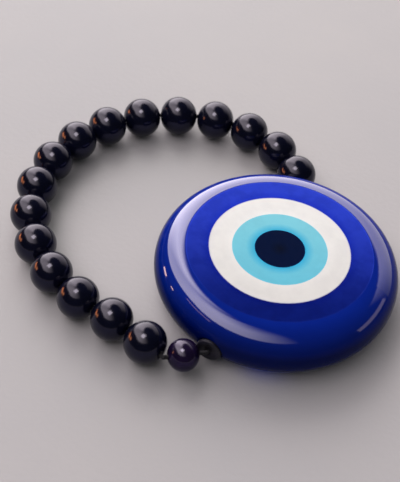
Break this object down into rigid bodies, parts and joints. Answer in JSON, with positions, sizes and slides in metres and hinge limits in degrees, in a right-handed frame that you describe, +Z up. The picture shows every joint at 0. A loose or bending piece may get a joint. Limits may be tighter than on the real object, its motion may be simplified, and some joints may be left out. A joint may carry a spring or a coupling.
{
  "type": "evil eye bracelet",
  "caption": "Evil eye bracelet: a thick round glass eye threaded through its edge on an elastic cord that carries round black beads, worn on the wrist as a charm.",
  "frame": {"origin": "centre of the eye's flat underside", "axes": "+Z up, out of the eye's patterned face; +Y along the bore that carries the cord, away from the small bead; the loop of beads is on the -X side"},
  "size_m": [0.0781, 0.0689, 0.0108],
  "materials": {
    "cobalt_glass": "polished",
    "field_glass": "polished",
    "white_glass": "polished",
    "turquoise_glass": "polished",
    "pupil_glass": "polished",
    "washer_black": "gloss",
    "purple_bead": "metallic sheen",
    "black_bead": "polished",
    "elastic_cord": "satin"
  },
  "bodies": {
    "eye": {"eye_glass": "cobalt_glass", "blue_field": "field_glass", "white_ring": "white_glass", "iris_ring": "turquoise_glass", "pupil": "pupil_glass"},
    "cord_root": {"cord_bore": "elastic_cord", "cord_knot": "elastic_cord"},
    "spacer_washer": {"spacer_washer": "washer_black"},
    "small_bead": {"small_bead": "purple_bead"},
    "strand_1": {"cord_01": "elastic_cord", "cord_02": "elastic_cord"},
    "strand_2": {"cord_03": "elastic_cord", "cord_04": "elastic_cord", "cord_05": "elastic_cord", "cord_06": "elastic_cord", "cord_07": "elastic_cord"},
    "strand_3": {"cord_08": "elastic_cord", "cord_09": "elastic_cord", "cord_10": "elastic_cord", "cord_11": "elastic_cord", "cord_12": "elastic_cord"},
    "strand_4": {"cord_13": "elastic_cord", "cord_14": "elastic_cord", "cord_15": "elastic_cord"},
    "strand_5": {"cord_16": "elastic_cord"},
    "bead_01": {"bead_01": "black_bead"},
    "bead_02": {"bead_02": "black_bead"},
    "bead_03": {"bead_03": "black_bead"},
    "bead_04": {"bead_04": "black_bead"},
    "bead_05": {"bead_05": "black_bead"},
    "bead_06": {"bead_06": "black_bead"},
    "bead_07": {"bead_07": "black_bead"},
    "bead_08": {"bead_08": "black_bead"},
    "bead_09": {"bead_09": "black_bead"},
    "bead_10": {"bead_10": "black_bead"},
    "bead_11": {"bead_11": "black_bead"},
    "bead_12": {"bead_12": "black_bead"},
    "bead_13": {"bead_13": "black_bead"},
    "bead_14": {"bead_14": "black_bead"},
    "bead_15": {"bead_15": "black_bead"},
    "bead_16": {"bead_16": "black_bead"}
  },
  "joints": [
    {"name": "eye_turn", "type": "hinge", "parent": "eye", "child": "cord_root", "pos_m": [-0.00365, 0, 0.004], "axis": [0, 1, 0], "range_deg": [-120, 75]},
    {"name": "washer_spin", "type": "hinge", "parent": "cord_root", "child": "spacer_washer", "pos_m": [-0.00365, -0.0225, 0.004], "axis": [0, 1, 0], "continuous": true},
    {"name": "small_bead_spin", "type": "hinge", "parent": "cord_root", "child": "small_bead", "pos_m": [-0.00718, -0.02585, 0.004], "axis": [-0.801, -0.5987, 0], "continuous": true},
    {"name": "strand_squeeze", "type": "hinge", "parent": "cord_root", "child": "strand_1", "pos_m": [-0.0101, -0.02803, 0.004], "axis": [0, 0, 1], "range_deg": [-3.48, 3.48]},
    {"name": "strand_bend_2", "type": "hinge", "parent": "strand_1", "child": "strand_2", "pos_m": [-0.02585, -0.02404, 0.004], "axis": [0, 0, 1], "range_deg": [-7.98, 7.98]},
    {"name": "strand_bend_3", "type": "hinge", "parent": "strand_2", "child": "strand_3", "pos_m": [-0.05127, 0.00249, 0.004], "axis": [0, 0, 1], "range_deg": [-7.35, 7.35]},
    {"name": "strand_bend_4", "type": "hinge", "parent": "strand_3", "child": "strand_4", "pos_m": [-0.03141, 0.0334, 0.004], "axis": [0, 0, 1], "range_deg": [-8, 8]},
    {"name": "strand_bend_5", "type": "hinge", "parent": "strand_4", "child": "strand_5", "pos_m": [-0.0089, 0.03003, 0.004], "axis": [0, 0, 1], "range_deg": [-5.16, 5.16]},
    {"name": "bead_spin_01", "type": "hinge", "parent": "strand_1", "child": "bead_01", "pos_m": [-0.01432, -0.02648, 0.004], "axis": [-0.9383, 0.3457, 0], "continuous": true},
    {"name": "bead_spin_02", "type": "hinge", "parent": "strand_1", "child": "bead_02", "pos_m": [-0.02194, -0.02457, 0.004], "axis": [-0.9907, 0.1362, 0], "continuous": true},
    {"name": "bead_spin_03", "type": "hinge", "parent": "strand_2", "child": "bead_03", "pos_m": [-0.02966, -0.02297, 0.004], "axis": [-0.963, 0.2694, 0], "continuous": true},
    {"name": "bead_spin_04", "type": "hinge", "parent": "strand_2", "child": "bead_04", "pos_m": [-0.03685, -0.01988, 0.004], "axis": [-0.8578, 0.5139, 0], "continuous": true},
    {"name": "bead_spin_05", "type": "hinge", "parent": "strand_2", "child": "bead_05", "pos_m": [-0.04297, -0.015, 0.004], "axis": [-0.6918, 0.7221, 0], "continuous": true},
    {"name": "bead_spin_06", "type": "hinge", "parent": "strand_2", "child": "bead_06", "pos_m": [-0.04759, -0.00867, 0.004], "axis": [-0.4767, 0.879, 0], "continuous": true},
    {"name": "bead_spin_07", "type": "hinge", "parent": "strand_2", "child": "bead_07", "pos_m": [-0.05037, -0.00135, 0.004], "axis": [-0.2279, 0.9737, 0], "continuous": true},
    {"name": "bead_spin_08", "type": "hinge", "parent": "strand_3", "child": "bead_08", "pos_m": [-0.05112, 0.00644, 0.004], "axis": [0.0371, 0.9993, 0], "continuous": true},
    {"name": "bead_spin_09", "type": "hinge", "parent": "strand_3", "child": "bead_09", "pos_m": [-0.04979, 0.01416, 0.004], "axis": [0.2995, 0.9541, 0], "continuous": true},
    {"name": "bead_spin_10", "type": "hinge", "parent": "strand_3", "child": "bead_10", "pos_m": [-0.04648, 0.02125, 0.004], "axis": [0.5406, 0.8413, 0], "continuous": true},
    {"name": "bead_spin_11", "type": "hinge", "parent": "strand_3", "child": "bead_11", "pos_m": [-0.0414, 0.02721, 0.004], "axis": [0.7435, 0.6688, 0], "continuous": true},
    {"name": "bead_spin_12", "type": "hinge", "parent": "strand_3", "child": "bead_12", "pos_m": [-0.03494, 0.03163, 0.004], "axis": [0.8936, 0.4489, 0], "continuous": true},
    {"name": "bead_spin_13", "type": "hinge", "parent": "strand_4", "child": "bead_13", "pos_m": [-0.02754, 0.03418, 0.004], "axis": [0.9804, 0.1972, 0], "continuous": true},
    {"name": "bead_spin_14", "type": "hinge", "parent": "strand_4", "child": "bead_14", "pos_m": [-0.01976, 0.03437, 0.004], "axis": [0.9889, -0.1483, 0], "continuous": true},
    {"name": "bead_spin_15", "type": "hinge", "parent": "strand_4", "child": "bead_15", "pos_m": [-0.01238, 0.03191, 0.004], "axis": [0.8794, -0.476, 0], "continuous": true},
    {"name": "bead_spin_16", "type": "hinge", "parent": "strand_5", "child": "bead_16", "pos_m": [-0.00628, 0.02708, 0.004], "axis": [0.6649, -0.7469, 0], "continuous": true}
  ],
  "couplings": [
    {"joint": "strand_bend_2", "follows": "strand_squeeze", "ratio": -2.2918},
    {"joint": "strand_bend_3", "follows": "strand_squeeze", "ratio": 2.1097},
    {"joint": "strand_bend_4", "follows": "strand_squeeze", "ratio": -2.2985},
    {"joint": "strand_bend_5", "follows": "strand_squeeze", "ratio": 1.4807}
  ]
}
